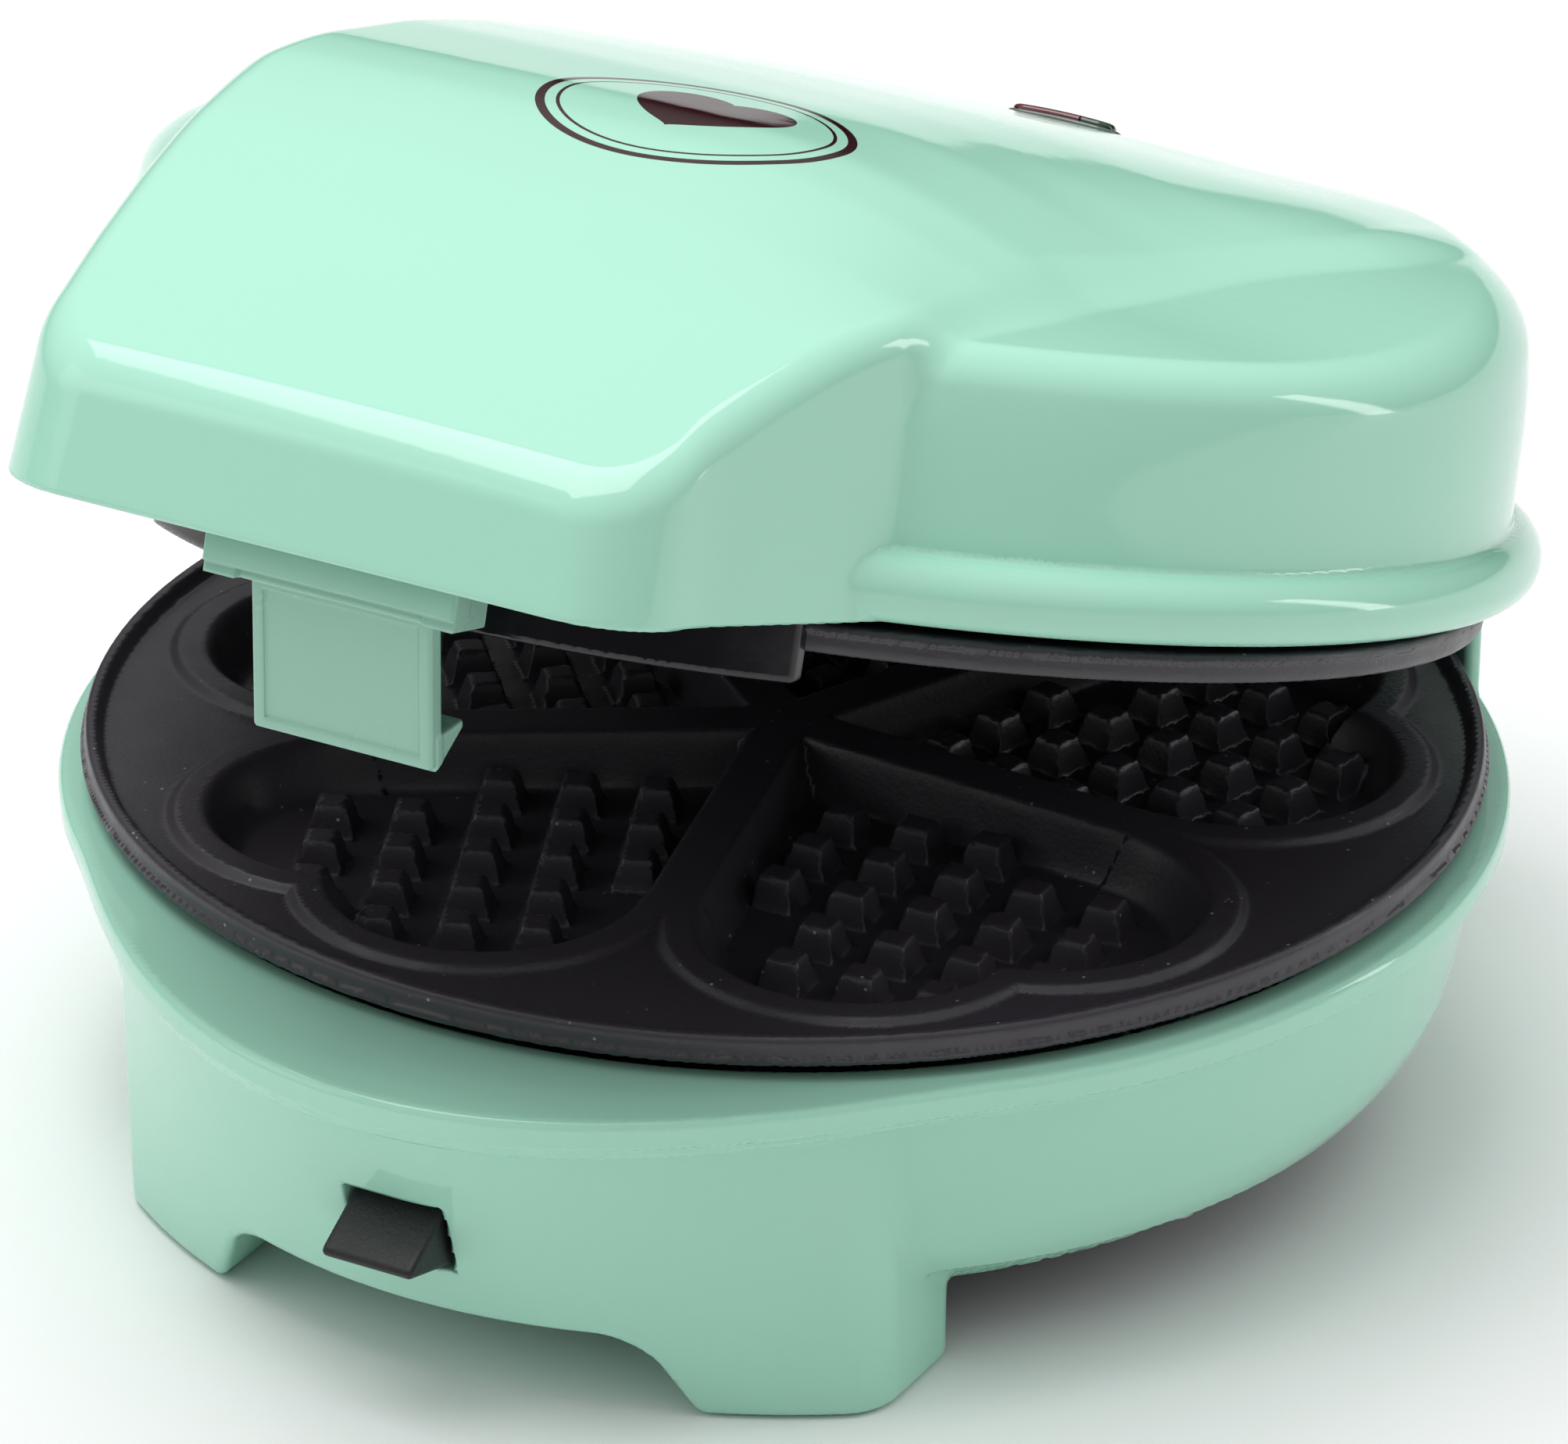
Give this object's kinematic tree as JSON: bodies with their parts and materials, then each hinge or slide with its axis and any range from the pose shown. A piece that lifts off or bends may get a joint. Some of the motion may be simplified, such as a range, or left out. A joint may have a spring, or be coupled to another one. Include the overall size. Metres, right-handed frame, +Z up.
{
  "type": "waffle maker",
  "caption": "Round heart-waffle maker with hinged mint lid standing ajar, dark non-stick heart plates, hook latch under a wide handle, plate release lever and front feet.",
  "frame": {"origin": "on the table below the middle of the resting outline", "axes": "+Z up, front with the handle and latch towards -Y, +X to the right seen from the front"},
  "size_m": [0.219, 0.2582, 0.165],
  "materials": {
    "mint_plastic": "gloss",
    "black_plastic": "satin",
    "skirt_plastic": "gloss",
    "non_stick": "matte non-stick coating with fine specks",
    "steel": "plain",
    "heater": "oxidised",
    "ceramic": "matte",
    "rubber": "matte",
    "red_lens": "translucent gloss",
    "green_lens": "translucent gloss",
    "bezel": "translucent gloss",
    "lamp": "clear",
    "sleeving": "woven"
  },
  "bodies": {
    "base": {"base_shell": "mint_plastic", "bottom_cover": "black_plastic", "rubber_feet": "rubber", "lower_reflector": "steel", "lower_heating_element": "heater", "lower_element_brackets": "steel", "lower_waffle_plate": "non_stick", "lower_plate_hooks": "steel", "lower_lever_pin": "steel", "lower_lever_spring": "steel", "base_terminal_block": "ceramic", "base_thermal_fuse": "ceramic", "base_wires": "sleeving", "cord_gland": "rubber", "cord_clamp": "black_plastic", "bottom_cover_screws": "steel", "lower_reflector_screws": "steel"},
    "lid": {"hinge_pins": "steel", "lid_shell": "mint_plastic", "lid_inner_cover": "skirt_plastic", "upper_reflector": "steel", "upper_heating_element": "heater", "upper_element_brackets": "steel", "upper_waffle_plate": "non_stick", "upper_plate_hooks": "steel", "upper_slide_spring": "steel", "thermostat": "ceramic", "indicator_bezel": "bezel", "red_lens": "red_lens", "green_lens": "green_lens", "indicator_lamps": "lamp", "lamp_holder": "ceramic", "lid_terminal_block": "ceramic", "lid_wires": "sleeving", "inner_cover_screws": "steel", "upper_reflector_screws": "steel", "latch_bracket": "mint_plastic", "latch_pin": "steel", "latch_spring": "steel"},
    "latch": {"latch_tab": "mint_plastic"},
    "lower_lever": {"lower_release_lever": "black_plastic"},
    "upper_slide": {"upper_release_slide": "black_plastic"}
  },
  "joints": [
    {"name": "lid_hinge", "type": "hinge", "parent": "base", "child": "lid", "pos_m": [0, 0.1156, 0.083], "axis": [-1, 0, 0], "range_deg": [-16.2, 75]},
    {"name": "latch_pivot", "type": "hinge", "parent": "lid", "child": "latch", "pos_m": [0, -0.12291, 0.13126], "axis": [-1, 0, 0], "range_deg": [0, 30], "stiffness_Nm_per_rad": 0.02},
    {"name": "lower_release_press", "type": "hinge", "parent": "base", "child": "lower_lever", "pos_m": [0, -0.1034, 0.03], "axis": [1, 0, 0], "range_deg": [0, 8], "stiffness_Nm_per_rad": 0.05},
    {"name": "upper_release_pull", "type": "slide", "parent": "lid", "child": "upper_slide", "axis": [0, -0.9603, 0.279], "range_m": [0, 0.003], "stiffness_N_per_m": 150}
  ]
}
